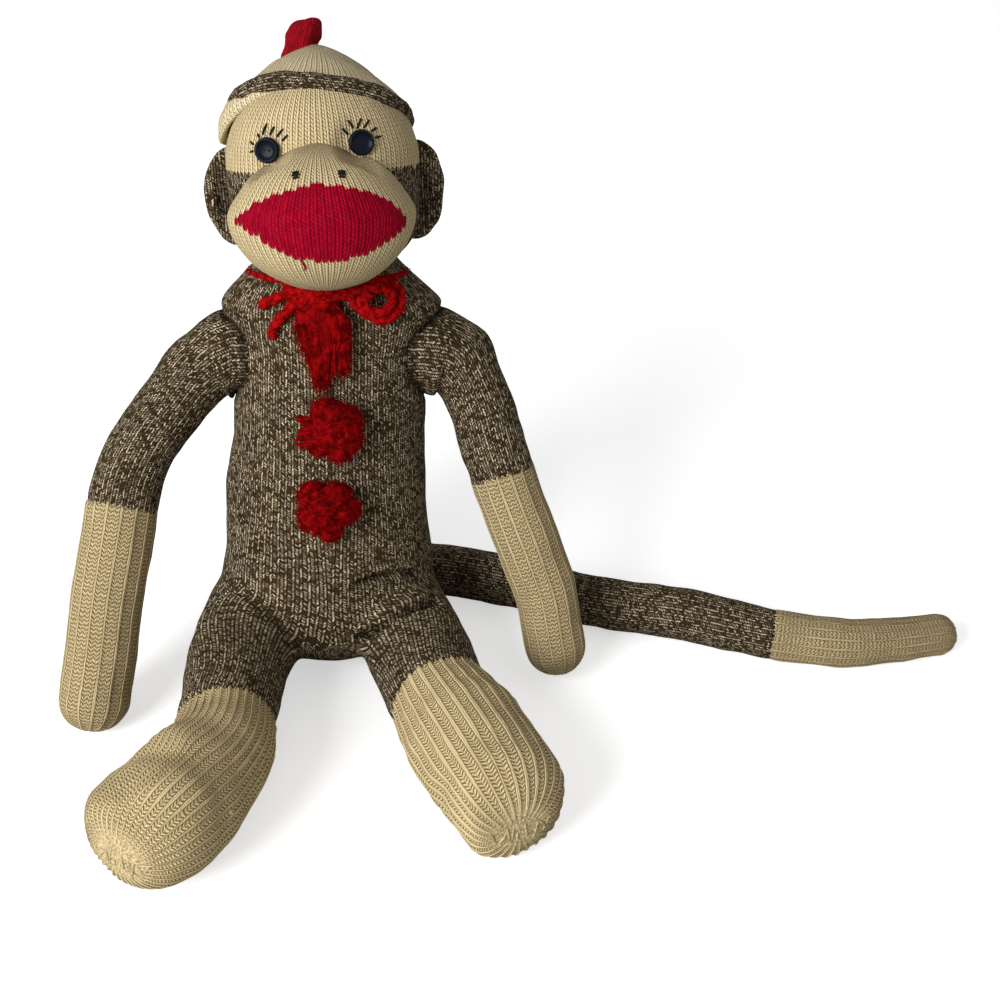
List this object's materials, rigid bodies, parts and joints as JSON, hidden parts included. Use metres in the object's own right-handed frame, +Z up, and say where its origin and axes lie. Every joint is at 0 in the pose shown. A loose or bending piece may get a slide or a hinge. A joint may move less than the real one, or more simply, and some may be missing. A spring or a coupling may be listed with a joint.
{
  "type": "stuffed monkey doll",
  "caption": "Seated stuffed monkey doll of heather sock knit with a cap, button eyes, long arms, legs and tail, a yarn bow at the neck and pompoms down the chest.",
  "frame": {"origin": "centre of the small flat under the seat, on the floor", "axes": "+Z up from the floor, -Y the way the doll faces, +X to the doll's own left"},
  "size_m": [0.4657, 0.2994, 0.3049],
  "materials": {
    "heather_knit": "matte",
    "cream_knit": "matte",
    "red_yarn": "matte",
    "navy_button": "gloss",
    "black_thread": "matte"
  },
  "bodies": {
    "torso": {"torso": "heather_knit", "neck_tie": "red_yarn", "bow_knot": "red_yarn", "bow_loop": "red_yarn", "bow_end_upper": "red_yarn", "bow_end_lower": "red_yarn", "tassel_pompom": "red_yarn", "middle_pompom": "red_yarn", "lower_pompom": "red_yarn"},
    "neck": {"neck": "heather_knit"},
    "head": {"head": "heather_knit", "muzzle": "cream_knit", "right_ear": "heather_knit", "left_ear": "heather_knit", "cap_brim": "heather_knit", "cap_crown": "cream_knit", "cap_tip": "red_yarn", "right_eye_button": "navy_button", "left_eye_button": "navy_button", "right_lash_1": "black_thread", "right_lash_2": "black_thread", "right_lash_3": "black_thread", "right_lash_4": "black_thread", "right_lash_5": "black_thread", "right_lash_6": "black_thread", "left_lash_1": "black_thread", "left_lash_2": "black_thread", "left_lash_3": "black_thread", "left_lash_4": "black_thread", "left_lash_5": "black_thread", "left_lash_6": "black_thread", "right_nostril_stitch": "black_thread", "left_nostril_stitch": "black_thread"},
    "right_arm": {"right_arm": "heather_knit", "right_hand": "cream_knit"},
    "left_arm": {"left_arm": "heather_knit", "left_hand": "cream_knit"},
    "right_leg": {"right_thigh": "heather_knit", "right_foot": "cream_knit"},
    "left_leg": {"left_thigh": "heather_knit", "left_foot": "cream_knit"},
    "tail": {"tail": "heather_knit", "tail_end": "cream_knit"}
  },
  "joints": [
    {"name": "neck_turn", "type": "hinge", "parent": "torso", "child": "neck", "pos_m": [0, 0.05263, 0.2091], "axis": [0, 0.2924, 0.9563], "range_deg": [-30, 30]},
    {"name": "head_nod", "type": "hinge", "parent": "neck", "child": "head", "pos_m": [0, 0.05263, 0.2091], "axis": [1, 0, 0], "range_deg": [-15, 0]},
    {"name": "right_shoulder", "type": "hinge", "parent": "torso", "child": "right_arm", "pos_m": [-0.047, 0.03713, 0.15842], "axis": [-1, 0, 0], "range_deg": [-35, 120]},
    {"name": "left_shoulder", "type": "hinge", "parent": "torso", "child": "left_arm", "pos_m": [0.047, 0.03713, 0.15842], "axis": [-1, 0, 0], "range_deg": [-5, 120]},
    {"name": "right_hip", "type": "hinge", "parent": "torso", "child": "right_leg", "pos_m": [-0.034, -0.008, 0.031], "axis": [1, 0, 0], "range_deg": [-10, 75]},
    {"name": "left_hip", "type": "hinge", "parent": "torso", "child": "left_leg", "pos_m": [0.034, -0.008, 0.031], "axis": [1, 0, 0], "range_deg": [-10, 75]},
    {"name": "tail_swing", "type": "hinge", "parent": "torso", "child": "tail", "pos_m": [0, 0.037, 0.0135], "axis": [0, 0, 1], "range_deg": [0, 80]}
  ]
}
